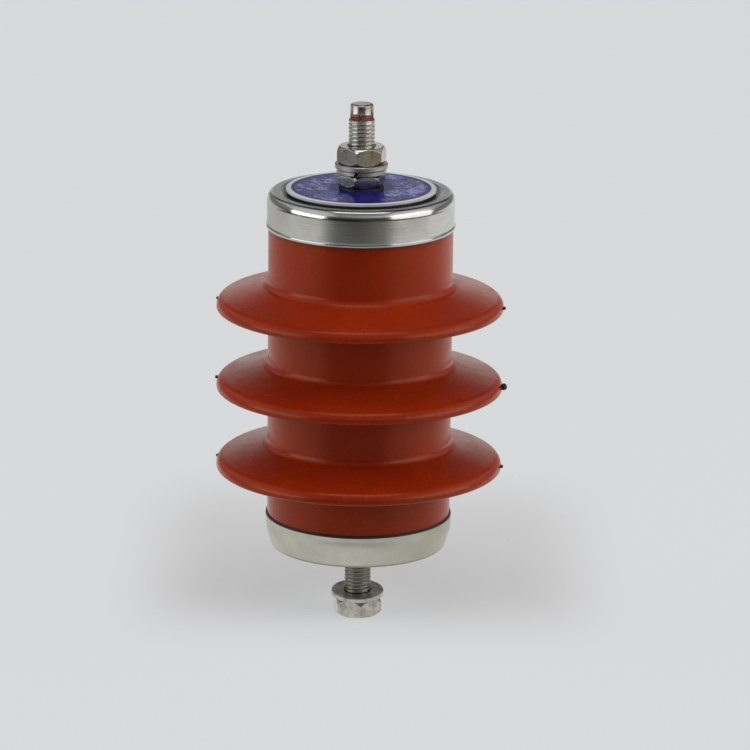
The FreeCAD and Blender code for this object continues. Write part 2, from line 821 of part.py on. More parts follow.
def check(pieces):
    """Stop if any object failed or any sub-part's shape is unsound."""
    for item in doc.Objects:
        if "Invalid" in item.State or "Error" in item.State:
            raise RuntimeError(f"{item.Label} failed: {item.State}")
    for piece in pieces:
        if piece.Shape.isNull() or not piece.Shape.isValid():
            raise RuntimeError(f"{piece.Label} has no sound shape")
        if len(piece.Shape.Solids) != 1:
            raise RuntimeError(f"{piece.Label} has {len(piece.Shape.Solids)} solids")


def save(pieces):
    """Write each sub-part to a STEP file of its own."""
    os.makedirs("parts", exist_ok=True)
    for piece in pieces:
        piece.Shape.exportStep(os.path.join("parts", f"{piece.Label}.step"))


sub_parts = build()
check(sub_parts)
save(sub_parts)
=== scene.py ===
"""Looks of the cable sheath voltage limiter, over its solid model.

The materials and the added shapes count in millimetres from the part's origin,
the centre of the lower nut's lower face. The stage counts in metres. Colours
are linear.
"""

import math

import bpy
from mathutils import Matrix, Quaternion, Vector


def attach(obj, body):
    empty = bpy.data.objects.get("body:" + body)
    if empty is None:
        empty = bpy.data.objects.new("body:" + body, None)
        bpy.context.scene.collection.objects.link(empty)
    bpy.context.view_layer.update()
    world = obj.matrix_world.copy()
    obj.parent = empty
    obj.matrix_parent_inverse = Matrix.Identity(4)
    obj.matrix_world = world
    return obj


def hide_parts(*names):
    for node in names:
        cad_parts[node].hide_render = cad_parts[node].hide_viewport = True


MM = 0.001
TURN = 2 * math.pi

# how far the housing's parting line is turned from the photo's left and right sides
PARTING_TURN = math.radians(-6.0)

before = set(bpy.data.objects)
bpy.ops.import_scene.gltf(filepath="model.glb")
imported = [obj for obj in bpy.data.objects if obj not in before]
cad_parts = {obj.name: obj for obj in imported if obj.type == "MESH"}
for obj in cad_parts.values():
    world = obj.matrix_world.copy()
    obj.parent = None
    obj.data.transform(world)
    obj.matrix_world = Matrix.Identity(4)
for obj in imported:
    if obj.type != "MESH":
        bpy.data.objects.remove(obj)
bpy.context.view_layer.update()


class Tree:
    """A node tree, built one node at a time."""

    def __init__(self, tree):
        self.nodes = tree.nodes
        self.links = tree.links

    def add(self, kind, inputs=None, **settings):
        """Add a node, with its settings and what goes into its sockets."""
        node = self.nodes.new(kind)
        for key, setting in settings.items():
            setattr(node, key, setting)
        for socket, source in (inputs or {}).items():
            if isinstance(source, bpy.types.NodeSocket):
                self.links.new(source, node.inputs[socket])
            else:
                node.inputs[socket].default_value = source
        return node

    def math(self, operation, a, b=0.0):
        return self.add("ShaderNodeMath", {0: a, 1: b}, operation=operation).outputs[0]

    def product(self, a, b):
        return self.math("MULTIPLY", a, b)

    def total(self, a, b):
        return self.math("ADD", a, b)

    def larger(self, a, b):
        return self.math("MAXIMUM", a, b)

    def ramp(self, source, low, high, start=0.0, end=1.0, kind="SMOOTHSTEP"):
        """Go from start to end as the source goes from low to high."""
        inputs = {0: source, 1: low, 2: high, 3: start, 4: end}
        return self.add("ShaderNodeMapRange", inputs, interpolation_type=kind).outputs[0]

    def band(self, source, low, high, soft):
        """One inside a span and zero outside it, with soft ends."""
        rise = self.ramp(source, low - soft, low + soft)
        fall = self.ramp(source, high - soft, high + soft, 1.0, 0.0)
        return self.product(rise, fall)

    def mixed(self, share, start, end):
        """Mix two colours."""
        inputs = {0: share, 6: as_colour(start), 7: as_colour(end)}
        return self.add("ShaderNodeMix", inputs, data_type="RGBA", clamp_result=True).outputs[2]

    def shader_mix(self, share, start, end):
        """Mix two shaders."""
        return self.add("ShaderNodeMixShader", {0: share, 1: start, 2: end}).outputs[0]


def as_colour(source):
    """Give a colour its fourth number; leave a socket as it is."""
    if isinstance(source, bpy.types.NodeSocket):
        return source
    return (*source, 1.0)


class Paint(Tree):
    """A piece's material. Its places are in millimetres."""

    def __init__(self, name, **fixed):
        self.material = bpy.data.materials.new(name)
        self.material.use_nodes = True
        super().__init__(self.material.node_tree)
        self.shader = self.nodes["Principled BSDF"]
        for socket, amount in fixed.items():
            self.shader.inputs[socket.replace("_", " ")].default_value = amount
        metres = self.add("ShaderNodeTexCoord").outputs["Object"]
        scaled = self.add("ShaderNodeVectorMath", {0: metres, 3: 1 / MM}, operation="SCALE")
        self.place = scaled.outputs[0]
        self.x, self.y, self.z = self.add("ShaderNodeSeparateXYZ", {0: self.place}).outputs
        across = self.product(self.x, self.x)
        along = self.product(self.y, self.y)
        self.radius = self.math("SQRT", self.total(across, along))
        self.angle = self.math("ARCTAN2", self.y, self.x)

    def noise(self, scale, detail=3.0, rough=0.5, place=None, warp=0.0):
        inputs = {
            "Vector": place or self.place,
            "Scale": scale,
            "Detail": detail,
            "Roughness": rough,
            "Distortion": warp,
        }
        return self.add("ShaderNodeTexNoise", inputs).outputs[0]

    def wound(self, outwards, around, upwards):
        """The place in turned marks: radius, angle and height, each with its own scale."""
        inputs = {
            0: self.product(self.radius, outwards),
            1: self.product(self.angle, around),
            2: self.product(self.z, upwards),
        }
        return self.add("ShaderNodeCombineXYZ", inputs).outputs[0]

    def wavering_height(self, noise, reach):
        """The height, moved up and down by a noise."""
        return self.total(self.z, self.product(self.math("SUBTRACT", noise, 0.5), reach))

    def feed(self, socket, source):
        self.links.new(source, self.shader.inputs[socket])

    def bump(self, *heights, distance):
        """Raise the surface by heights in turn; each is a source and a strength."""
        normal = None
        for source, strength in heights:
            inputs = {"Height": source, "Strength": strength, "Distance": distance * MM}
            if normal:
                inputs["Normal"] = normal
            normal = self.add("ShaderNodeBump", inputs).outputs[0]
        self.feed("Normal", normal)


BRICK = (0.30, 0.0175, 0.0014)
BRIGHT_BRICK = (0.34, 0.0220, 0.0020)
DEEP_BRICK = (0.260, 0.0150, 0.0016)
RUBBER_DUST = (0.42, 0.080, 0.030)
SEAM_RED = (0.11, 0.012, 0.006)
GATE_BLACK = (0.018, 0.010, 0.008)
LIP_PAINTED_SHADE = (0.060, 0.012, 0.004)
RIM_MARK_RADIUS = 54.35
CORE_MARK_RADIUS = 38.0
CORE_MARK_HEIGHTS = (69.5, 100.6, 131.7)
CORE_MARK_REACH = 0.9
UPPER_LIP_HEIGHT = 152.9
SEALANT_HEIGHT = 41.0


def gate_marks(paint, off):
    """Dark marks on the parting line, at the sheds' rims and roots."""
    at_rim = paint.ramp(paint.radius, RIM_MARK_RADIUS, RIM_MARK_RADIUS + 0.4)
    marks = paint.product(at_rim, paint.ramp(off, 0.7, 1.0, 1.0, 0.0))
    near_core = paint.ramp(paint.radius, CORE_MARK_RADIUS - 1.5, CORE_MARK_RADIUS, 1.0, 0.0)
    at_core = paint.product(paint.ramp(off, 0.5, 1.0, 1.0, 0.0), near_core)
    for height in CORE_MARK_HEIGHTS:
        level = paint.band(paint.z, height - CORE_MARK_REACH, height + CORE_MARK_REACH, 0.4)
        marks = paint.larger(marks, paint.product(level, at_core))
    return marks


def rubber():
    """Brick red moulded silicone rubber with its parting line and gate marks."""
    paint = Paint(
        "silicone_rubber",
        Specular_IOR_Level=0.34,
        Specular_Tint=(1.0, 0.82, 0.52, 1.0),
        Sheen_Weight=0.14,
        Sheen_Roughness=0.30,
        Sheen_Tint=(1.0, 0.70, 0.36, 1.0),
    )
    broad = paint.noise(0.035)
    cloud = paint.noise(0.16, 4, 0.6)
    speck = paint.noise(1.6, 2, 0.6)
    base = paint.mixed(paint.ramp(broad, 0.35, 0.65), BRICK, BRIGHT_BRICK)
    base = paint.mixed(paint.ramp(cloud, 0.45, 0.75, 0.0, 0.35), base, DEEP_BRICK)
    base = paint.mixed(paint.ramp(speck, 0.62, 0.78, 0.0, 0.10), base, RUBBER_DUST)

    # the parting line runs up both sides, through the gate marks
    off_x = paint.product(paint.x, -math.sin(PARTING_TURN))
    off_y = paint.product(paint.y, math.cos(PARTING_TURN))
    off = paint.math("ABSOLUTE", paint.total(off_x, off_y))
    seam = paint.ramp(off, 0.10, 0.28, 1.0, 0.0)
    base = paint.mixed(paint.product(seam, 0.30), base, SEAM_RED)
    base = paint.mixed(gate_marks(paint, off), base, GATE_BLACK)

    # painted shade on the rubber just under the top cap's lip and just above the sealant bead, its
    # edge wavering a little
    height = paint.wavering_height(cloud, 2.0)
    under_cap = paint.ramp(height, UPPER_LIP_HEIGHT - 2.7, UPPER_LIP_HEIGHT, 0.0, 0.45)
    over_sealant = paint.ramp(height, SEALANT_HEIGHT, SEALANT_HEIGHT + 2.0, 0.35, 0.0)
    base = paint.mixed(paint.larger(under_cap, over_sealant), base, LIP_PAINTED_SHADE)
    paint.feed("Base Color", base)

    smear = paint.noise(0.09, 4, 0.6, warp=0.6)
    paint.feed("Roughness", paint.ramp(smear, 0.3, 0.7, 0.21, 0.30))
    skin = paint.noise(2.6, 3, 0.6)
    waves = paint.noise(0.22, 2, 0.4)
    paint.bump((waves, 0.30), (skin, 0.11), (seam, 0.3), distance=0.12)
    return paint.material


SCUFF_BROWN = (0.30, 0.28, 0.25)
CAP_RIGHT_TINT = (0.40, 0.35, 0.27)
CAP_BLOTCH = (0.43, 0.43, 0.36)
CAP_FOOT_SHADE = (0.20, 0.20, 0.16)
CAP_PLATE_SHADE = (0.03, 0.03, 0.03)
CAP_FOOT_HEIGHT = 28.5
CAP_TOP_HEIGHT = 164.0
CAP_EDGE_RADIUS = 34.0
GRIME_RADIUS = 29.0


def cap_steel(name, colour, low, high, streak, dents, stained_and_shaded=False):
    """Pressed stainless steel, drawn round in fine rings.

    Low and high are the ends of its roughness, streak and dents the strengths of its bumps.
    """
    paint = Paint(name, Metallic=1.0)
    lines = paint.noise(1.0, 3, 0.6, place=paint.wound(3.0, 1.2, 3.0))
    patch = paint.noise(0.07, 3, 0.55)
    marks = paint.noise(0.7, 4, 0.7)
    tint = paint.mixed(paint.ramp(patch, 0.35, 0.7), colour, [c * 0.9 for c in colour])
    in_line = paint.ramp(lines, 0.35, 0.7, 0.0, 0.25)
    tint = paint.mixed(in_line, tint, [c * 0.84 for c in colour])
    tint = paint.mixed(paint.ramp(marks, 0.66, 0.8, 0.0, 0.3), tint, SCUFF_BROWN)
    if stained_and_shaded:
        # browner and darker towards the right side
        to_right = paint.ramp(paint.x, 0.0, CAP_EDGE_RADIUS, 0.0, 0.45)
        tint = paint.mixed(to_right, tint, CAP_RIGHT_TINT)
        blotch = paint.noise(0.32, 4, 0.65)
        tint = paint.mixed(paint.ramp(blotch, 0.45, 0.7, 0.0, 0.35), tint, CAP_BLOTCH)
        # painted shade along the cap's lower edge
        foot = paint.ramp(paint.z, CAP_FOOT_HEIGHT, CAP_FOOT_HEIGHT + 1.0, 0.8, 0.0)
        tint = paint.mixed(foot, tint, CAP_FOOT_SHADE)

    # the top is duller than the wall, and carries a painted shade around the nameplate
    on_top = paint.ramp(paint.z, CAP_TOP_HEIGHT, CAP_TOP_HEIGHT + 1.5)
    by_plate = paint.ramp(paint.radius, GRIME_RADIUS, GRIME_RADIUS + 1.4, 0.85, 0.0)
    tint = paint.mixed(paint.product(by_plate, on_top), tint, CAP_PLATE_SHADE)
    paint.feed("Base Color", tint)
    inner = paint.ramp(paint.radius, CAP_EDGE_RADIUS - 1.0, CAP_EDGE_RADIUS + 0.2, 0.22, 0.0)
    uneven = paint.total(
        paint.ramp(patch, 0.3, 0.7, low, high), paint.ramp(lines, 0.3, 0.7, -0.03, 0.03)
    )
    paint.feed("Roughness", paint.total(uneven, paint.product(inner, on_top)))
    paint.bump((lines, streak), (patch, dents), distance=0.05)
    return paint.material


NUT_STAIN = (0.26, 0.205, 0.135)
NUT_PAINTED_SHADE = (0.24, 0.24, 0.235)
NUT_PAINTED_BROWN = (0.46, 0.37, 0.22)
UNDER_TERMINAL_NUT = (175.0, 178.0)


def fastener_steel(name, bright, dull, low, high):
    """Stainless steel of the nuts and washers, with turning marks and some stain.

    Low and high are the ends of its roughness.
    """
    paint = Paint(name, Metallic=1.0)
    patch = paint.noise(0.28, 3, 0.6)
    fine = paint.noise(3.5, 3, 0.6)
    stain = paint.noise(0.55, 4, 0.7)
    tint = paint.mixed(paint.ramp(patch, 0.35, 0.7), bright, dull)
    tint = paint.mixed(paint.ramp(stain, 0.50, 0.72, 0.0, 0.55), tint, NUT_STAIN)

    # painted shade on the upper terminal nut's left faces, and a painted brown reflection on its
    # right faces
    upper = paint.ramp(paint.z, *UNDER_TERMINAL_NUT)
    painted_dark_side = paint.product(upper, paint.ramp(paint.x, -3.0, 0.5, 0.50, 0.0))
    tint = paint.mixed(painted_dark_side, tint, NUT_PAINTED_SHADE)
    painted_brown_side = paint.product(upper, paint.ramp(paint.x, 0.0, 3.0, 0.0, 0.45))
    tint = paint.mixed(painted_brown_side, tint, NUT_PAINTED_BROWN)
    paint.feed("Base Color", tint)

    paint.feed("Roughness", paint.ramp(fine, 0.3, 0.7, low, high))
    rings = paint.noise(1.0, 2, 0.5, place=paint.wound(4.0, 1.0, 2.0))
    paint.bump((rings, 0.20), (fine, 0.08), distance=0.04)
    return paint.material


STUD_BRIGHT = (0.58, 0.565, 0.535)
STUD_DULL = (0.45, 0.43, 0.40)
LOWER_STUD_PAINTED_SHADE = (0.13, 0.13, 0.105)
THREAD_ROOT_SHADE = (0.13, 0.12, 0.11)
TIP_PAINTED_SHADE = (0.30, 0.25, 0.17)
RING_RED = (0.108, 0.012, 0.010)
RING_LOW, RING_HIGH = 193.8, 196.4
BETWEEN_STUDS = (60.0, 100.0)


def stud_steel():
    """Threaded stud, with a ring of red paint where the plain tip begins."""
    paint = Paint("stud_steel")
    patch = paint.noise(0.35, 3, 0.6)
    fine = paint.noise(3.0, 3, 0.6)
    lower = paint.ramp(paint.z, *BETWEEN_STUDS, 1.0, 0.0)
    tint = paint.mixed(paint.ramp(patch, 0.35, 0.7), STUD_BRIGHT, STUD_DULL)
    # painted shade on the lower stud, below the bottom cap
    tint = paint.mixed(paint.product(lower, 0.84), tint, LOWER_STUD_PAINTED_SHADE)
    # painted shade in the thread's grooves, below the plain tip
    in_groove = paint.ramp(paint.radius, 4.70, 4.88, 0.28, 0.0)
    below_tip = paint.ramp(paint.z, 193.2, 193.6, 1.0, 0.0)
    tint = paint.mixed(paint.product(in_groove, below_tip), tint, THREAD_ROOT_SHADE)
    # painted shade, brown, on the right side of the plain tip
    tip_side = paint.ramp(paint.x, 0.0, 2.0, 0.15, 0.6)
    painted_brown_side = paint.product(paint.ramp(paint.z, 196.0, 196.8), tip_side)
    tint = paint.mixed(painted_brown_side, tint, TIP_PAINTED_SHADE)

    # the ring of paint wavers a little and is worn through in places
    height = paint.wavering_height(paint.noise(0.6, 2), 0.8)
    whole = paint.band(height, RING_LOW, RING_HIGH, 0.20)
    faded = paint.ramp(height, 195.3, 196.2, 0.0, 0.05)
    left = paint.ramp(paint.math("SUBTRACT", paint.noise(1.1, 3, 0.6), faded), 0.26, 0.42)
    ring = paint.product(whole, left)
    paint.feed("Base Color", paint.mixed(ring, tint, RING_RED))
    paint.feed("Metallic", paint.ramp(ring, 0.0, 1.0, 1.0, 0.0))

    at_ends = paint.total(paint.product(lower, 0.14), paint.ramp(paint.z, 196.5, 197.5, 0.0, 0.08))
    gloss = paint.total(paint.ramp(fine, 0.3, 0.7, 0.16, 0.22), at_ends)
    paint.feed("Roughness", paint.total(gloss, paint.product(ring, 0.2)))
    paint.bump((fine, 0.06), (ring, 0.3), distance=0.04)
    return paint.material


DEEP_BLUE = (0.008, 0.008, 0.120)
ENAMEL_BLUE = (0.018, 0.014, 0.160)
WORN_BLUE = (0.37, 0.36, 0.74)
BORDER_WHITE = (0.72, 0.72, 0.76)
EDGE_GREY = (0.55, 0.55, 0.58)
PLATE_SOIL = (0.16, 0.16, 0.22)
BORDER_RADIUS = 26.3
PLATE_EDGE_RADIUS = 28.2


def nameplate_enamel():
    """Blue enamel with a white border and worn, clouded patches on both sides."""
    paint = Paint("nameplate_enamel", Specular_IOR_Level=0.02)
    broad = paint.noise(0.12)
    cloud = paint.noise(0.30, 4, 0.65, warp=0.6)
    grain = paint.noise(0.75, 3, 0.6, warp=0.3)
    soil = paint.noise(0.8, 4, 0.7)
    blue = paint.mixed(paint.ramp(broad, 0.3, 0.7), DEEP_BLUE, ENAMEL_BLUE)

    # the wear leaves the middle, the rim and a band from front to back clear
    wear = paint.product(paint.ramp(cloud, 0.38, 0.54), paint.ramp(grain, 0.34, 0.56))
    zone = paint.band(paint.radius, 12.0, 24.5, 1.5)
    sides = paint.ramp(paint.math("ABSOLUTE", paint.x), 6.0, 11.0)
    patches = paint.ramp(paint.noise(0.11, 2), 0.42, 0.56, 0.30, 1.0)
    for share in (zone, sides, patches, 0.95):
        wear = paint.product(wear, share)
    colour = paint.mixed(wear, blue, WORN_BLUE)

    border = paint.ramp(paint.radius, BORDER_RADIUS, BORDER_RADIUS + 0.3)
    colour = paint.mixed(border, colour, BORDER_WHITE)
    edge = paint.ramp(paint.radius, PLATE_EDGE_RADIUS - 0.15, PLATE_EDGE_RADIUS)
    colour = paint.mixed(edge, colour, EDGE_GREY)
    paint.feed(
        "Base Color", paint.mixed(paint.ramp(soil, 0.6, 0.75, 0.0, 0.25), colour, PLATE_SOIL)
    )
    paint.feed("Roughness", paint.ramp(grain, 0.3, 0.7, 0.12, 0.24))
    paint.bump((broad, 0.3), (grain, 0.08), distance=0.08)
    return paint.material


def plain(name, light, dark, low, high, grain, **fixed):
    """A plain material with some clouding, uneven gloss and grain.

    Low and high are the ends of its roughness.
    """
    paint = Paint(name, **fixed)
    cloud = paint.noise(0.12, 4, 0.6)
    fine = paint.noise(grain, 3, 0.6)
    colour = paint.mixed(paint.ramp(cloud, 0.3, 0.7), light, dark)
    paint.feed("Base Color", paint.mixed(paint.ramp(fine, 0.5, 0.75, 0.0, 0.3), colour, dark))
    paint.feed("Roughness", paint.ramp(fine, 0.3, 0.7, low, high))
    paint.bump((fine, 0.25), (cloud, 0.2), distance=0.06)
    return paint.material


def dress(piece, material):
    """Give a piece one material."""
    piece.data.materials.clear()
    piece.data.materials.append(material)


BLACK_RUBBER = plain(
    "black_rubber", (0.022, 0.022, 0.024), (0.012, 0.012, 0.013), 0.45, 0.65, 2.2
)
STUD = stud_steel()
NODES_BY_MATERIAL = (
    (rubber(), ["silicone_housing"]),
    (
        cap_steel("polished_cap_steel", (0.61, 0.61, 0.595), 0.12, 0.17, 0.12, 0.12),
        ["top_cap"],
    ),
    (
        cap_steel("satin_cap_steel", (0.58, 0.585, 0.53), 0.30, 0.40, 0.20, 0.10, stained_and_shaded=True),
        ["bottom_cap"],
    ),
    (nameplate_enamel(), ["nameplate"]),
    # the sealant is tinted red-brown as a painted shade of the rubber above it
    (
        plain("sealant_with_painted_shade", (0.034, 0.013, 0.010), (0.014, 0.008, 0.007), 0.40, 0.60, 2.2),
        ["sealant_bead"],
    ),
    (
        BLACK_RUBBER,
        [
            "nameplate_gasket",
            "stud_seal_washer",
            "earth_seal_washer",
            "lower_end_gasket",
            "upper_end_gasket",
        ],
    ),
    (
        fastener_steel("stainless_fastener", (0.56, 0.545, 0.51), (0.36, 0.34, 0.31), 0.11, 0.18),
        ["terminal_nut", "cap_nut", "earth_nut", "earth_cap_nut"],
    ),
    (
        fastener_steel("dull_washer", (0.58, 0.57, 0.55), (0.38, 0.37, 0.35), 0.30, 0.45),
        ["spring_washer", "flat_washer", "earth_washer"],
    ),
    (STUD, ["terminal_stud", "earth_stud"]),
    (
        plain("glass_fibre_tube", (0.62, 0.60, 0.42), (0.52, 0.49, 0.32), 0.2, 0.35, 1.2),
        ["insulating_tube"],
    ),
    (
        plain(
            "aluminium_alloy", (0.75, 0.75, 0.76), (0.62, 0.62, 0.63), 0.30, 0.42, 2.5, Metallic=1.0
        ),
        ["lower_electrode", "upper_electrode", "contact_plate_1", "contact_plate_2"],
    ),
    (
        plain("spring_steel", (0.42, 0.42, 0.43), (0.30, 0.30, 0.31), 0.3, 0.45, 2.5, Metallic=1.0),
        ["pressure_plate", "lower_disc_spring", "upper_disc_spring"],
    ),
    (
        plain("zinc_oxide_ceramic", (0.10, 0.11, 0.12), (0.06, 0.065, 0.07), 0.6, 0.8, 2.0),
        ["varistor_disc_1", "varistor_disc_2", "varistor_disc_3"],
    ),
)
for material, names in NODES_BY_MATERIAL:
    for name in names:
        dress(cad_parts[name], material)


PITCH = 1.5
THREAD_DEPTH = 0.20
CREST_SHARE = 0.42
FLANK_SHARE = 0.46
RUN_OUT = 0.8
ROUND_STEPS = 64
STEPS_PER_PITCH = 14
ARC_STEPS = 6


def thread_depth(height, angle, low, high):
    """How far the thread is cut in at a place, with a run-out at each end."""
    turn = (height / PITCH - angle / TURN) % 1.0
    side = abs(turn - 0.5) * 2
    flank = min(max((side - CREST_SHARE) / FLANK_SHARE, 0.0), 1.0)
    run_out = min(max((height - low) / RUN_OUT, 0.0), max((high - height) / RUN_OUT, 0.0), 1.0)
    return THREAD_DEPTH * flank * flank * (3 - 2 * flank) * run_out


def stud(name, rings, low, high):
    """Make a round bar through (height, radius) rings, threaded from low to high."""
    rows = []
    for (z0, r0), (z1, r1) in zip(rings, rings[1:]):
        inside = z0 >= low and z1 <= high
        steps = math.ceil((z1 - z0) / PITCH * STEPS_PER_PITCH) if inside else 1
        for step in range(steps):
            share = step / steps
            rows.append((z0 + (z1 - z0) * share, r0 + (r1 - r0) * share, inside))
    rows.append((*rings[-1], False))

    corners, faces = [], []
    for height, radius, inside in rows:
        for step in range(ROUND_STEPS):
            angle = TURN * step / ROUND_STEPS
            cut = thread_depth(height, angle, low, high) if inside else 0.0
            reach = (radius - cut) * MM
            corners.append((reach * math.cos(angle), reach * math.sin(angle), height * MM))
    for row in range(len(rows) - 1):
        below, above = row * ROUND_STEPS, (row + 1) * ROUND_STEPS
        for step in range(ROUND_STEPS):
            after = (step + 1) % ROUND_STEPS
            faces.append((below + step, below + after, above + after, above + step))
    faces.append(tuple(reversed(range(ROUND_STEPS))))
    faces.append(tuple(range((len(rows) - 1) * ROUND_STEPS, len(rows) * ROUND_STEPS)))

    mesh = bpy.data.meshes.new(name)
    mesh.from_pydata(corners, [], faces)
    mesh.polygons.foreach_set("use_smooth", [True] * len(faces))
    mesh.polygons[-1].use_smooth = False
    mesh.polygons[-2].use_smooth = False
    made = bpy.data.objects.new(name, mesh)
    bpy.context.scene.collection.objects.link(made)
    dress(made, STUD)
    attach(made, "root")
    return made


def arc(height, radius, size):
    """Rings of a quarter round between a bar's side and its upper end."""
    rings = []
    for step in range(1, ARC_STEPS + 1):
        angle = TURN / 4 * step / ARC_STEPS
        rise = height - size + size * math.sin(angle)
        rings.append((rise, radius - size + size * math.cos(angle)))
    return rings


STUD_RADIUS = 5.0
BARE_RADIUS = 4.95
TIP_RADIUS = 4.35
CHAMFERED_RADIUS = 4.2
TIP_ROUND = 0.9
OVERALL_HEIGHT = 200.0
TERMINAL_THREAD = (182.5, 193.6)
EARTH_THREAD = (1.65, 28.0)

upper = stud(
    "threaded_terminal_stud",
    [
        (147.0, CHAMFERED_RADIUS),
        (147.8, STUD_RADIUS),
        (182.4, STUD_RADIUS),
        (TERMINAL_THREAD[0], BARE_RADIUS),
        (TERMINAL_THREAD[1], BARE_RADIUS),
        (194.0, 4.75),
        (194.35, TIP_RADIUS),
        (OVERALL_HEIGHT - TIP_ROUND, TIP_RADIUS),
    ]
    + arc(OVERALL_HEIGHT, TIP_RADIUS, TIP_ROUND),
    *TERMINAL_THREAD,
)
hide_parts("terminal_stud")
lower = stud(
    "threaded_earth_stud",
    [
        (0.8, CHAMFERED_RADIUS),
        (1.6, STUD_RADIUS),
        (EARTH_THREAD[0], STUD_RADIUS),
        (EARTH_THREAD[1], STUD_RADIUS),
        (28.1, STUD_RADIUS),
        (46.1, STUD_RADIUS),
        (46.9, CHAMFERED_RADIUS),
    ],
    *EARTH_THREAD,
)
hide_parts("earth_stud")


GATE_STUB_RADIUS = 55.1
GATE_STUB_HEIGHT = 92.1
GATE_STUB_HALF_SIZES = (1.2, 1.15, 1.35)


def gate_stub():
    """The dark lump that the middle shed keeps on its right, where the rubber was let in."""
    bpy.ops.mesh.primitive_uv_sphere_add(segments=24, ring_count=12, radius=1.0)
    made = bpy.context.object
    made.name = "gate_stub"
    outwards = Vector((math.cos(PARTING_TURN), math.sin(PARTING_TURN), 0.0)) * GATE_STUB_RADIUS
    place = Matrix.Translation((outwards + Vector((0.0, 0.0, GATE_STUB_HEIGHT))) * MM)
    shape = Matrix.Diagonal((*(Vector(GATE_STUB_HALF_SIZES) * MM), 1.0))
    made.data.transform(place @ Matrix.Rotation(PARTING_TURN, 4, "Z") @ shape)
    made.data.polygons.foreach_set("use_smooth", [True] * len(made.data.polygons))
    dress(made, BLACK_RUBBER)
    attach(made, "root")


gate_stub()


WELD_REACH = 0.002
EDGE_WIDTH = 0.12
EDGE_ANGLE = math.radians(24)


def soften(piece):
    """Round a piece's sharp edges a little."""
    weld = piece.modifiers.new("weld", "WELD")
    weld.merge_threshold = WELD_REACH * MM
    bevel = piece.modifiers.new("edges", "BEVEL")
    bevel.width = EDGE_WIDTH * MM
    bevel.segments = 2
    bevel.limit_method = "ANGLE"
    bevel.angle_limit = EDGE_ANGLE
    bevel.harden_normals = True


for name in ("terminal_nut", "cap_nut", "earth_nut", "earth_cap_nut"):
    soften(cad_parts[name])


FLOOR_SIZE = 10.0
SHADE_GREY = (0.715, 0.700, 0.680)
BOUNCE_GREY = (0.36, 0.36, 0.35)
PALE_FLOOR = ((0.686, 0.696, 0.709), (0.704, 0.713, 0.727))
DARK_ROOM = (0.02, 0.02, 0.018)
BROWN_ROOM = (0.11, 0.085, 0.055)
DIM_FLOOR = (0.25, 0.25, 0.23)
LIT_FLOOR = (0.73, 0.727, 0.695)
SHADE_LEAST, SHADE_MOST = 0.03, 0.53


def seen_floor(tree, x, y):
    """The floor as it is seen: pale, with a painted shadow patch at its foot, which also takes the
    object's own shadow.
    """
    beside = tree.math("ABSOLUTE", tree.math("SUBTRACT", x, 0.004))
    side = tree.ramp(beside, 0.058, 0.108, 1.0, 0.0)
    fore = tree.ramp(y, -0.060, 0.045)
    rear = tree.ramp(y, 0.10, 0.215, 1.0, 0.0)
    patch = tree.product(side, tree.product(fore, rear))
    share = tree.ramp(patch, 0.0, 1.0, SHADE_LEAST, SHADE_MOST, kind="LINEAR")
    grain = tree.add("ShaderNodeTexNoise", {"Scale": 3.0, "Detail": 2.0}).outputs[0]
    pale = tree.mixed(grain, *PALE_FLOOR)
    seen = tree.add("ShaderNodeEmission", {0: pale, 1: 1.0}).outputs[0]
    shade = tree.add("ShaderNodeBsdfDiffuse", {0: as_colour(SHADE_GREY)}).outputs[0]
    return tree.shader_mix(share, seen, shade)


def mirrored_floor(tree, x, y, away):
    """The floor as the object mirrors it: lit to where the studio's floor ends.

    In front there is a dark sector, and beyond the floor's end the dark room.
    """
    skew = tree.total(tree.product(x, 0.05), y)
    outside_sector = tree.ramp(tree.math("DIVIDE", skew, away), -0.90, -0.62)
    near_object = tree.ramp(away, 0.155, 0.22, 1.0, 0.0)
    full = tree.larger(outside_sector, near_object)
    left_back = tree.ramp(tree.math("SUBTRACT", y, x), 0.55, 0.85, 1.0, 0.74)
    at_sides = tree.ramp(tree.math("ABSOLUTE", x), 0.28, 0.50, 1.0, 1.15)
    floor = tree.add(
        "ShaderNodeVectorMath",
        {0: tree.mixed(full, DIM_FLOOR, LIT_FLOOR), 3: tree.product(left_back, at_sides)},
        operation="SCALE",
    ).outputs[0]

    front_end = tree.ramp(skew, -0.74, -0.60)
    in_front = tree.product(front_end, tree.ramp(away, 0.75, 0.83, 1.0, 0.0))
    back_end = tree.larger(tree.ramp(away, 0.84, 0.98, 1.0, 0.0), tree.ramp(y, 0.42, 0.60))
    behind = tree.product(tree.ramp(y, -0.12, 0.03), back_end)
    room = tree.mixed(tree.ramp(x, -0.05, 0.35), DARK_ROOM, BROWN_ROOM)
    tone = tree.mixed(tree.larger(in_front, behind), room, floor)
    return tree.add("ShaderNodeEmission", {0: tone, 1: 1.0}).outputs[0]


def stage_floor():
    """A plain pale floor, which also lights the object from below."""
    bpy.ops.mesh.primitive_plane_add(size=FLOOR_SIZE, location=(0, 0, 0))
    floor = bpy.context.object
    floor.name = "floor"
    material = bpy.data.materials.new("floor_paper")
    material.use_nodes = True
    tree = Tree(material.node_tree)
    tree.nodes.clear()
    spot = tree.add("ShaderNodeTexCoord").outputs["Object"]
    x, y, _ = tree.add("ShaderNodeSeparateXYZ", {0: spot}).outputs
    away = tree.add("ShaderNodeVectorMath", {0: spot}, operation="LENGTH").outputs["Value"]
    path = tree.add("ShaderNodeLightPath")
    bounce = tree.add("ShaderNodeBsdfDiffuse", {0: as_colour(BOUNCE_GREY)}).outputs[0]
    mirrored = mirrored_floor(tree, x, y, away)
    unseen = tree.shader_mix(path.outputs["Is Glossy Ray"], bounce, mirrored)
    both = tree.shader_mix(path.outputs["Is Camera Ray"], unseen, seen_floor(tree, x, y))
    tree.add("ShaderNodeOutputMaterial", {0: both})
    floor.data.materials.append(material)


WORLD_GREY = (0.690, 0.699, 0.712)
DIFFUSE_SHARE = 0.25


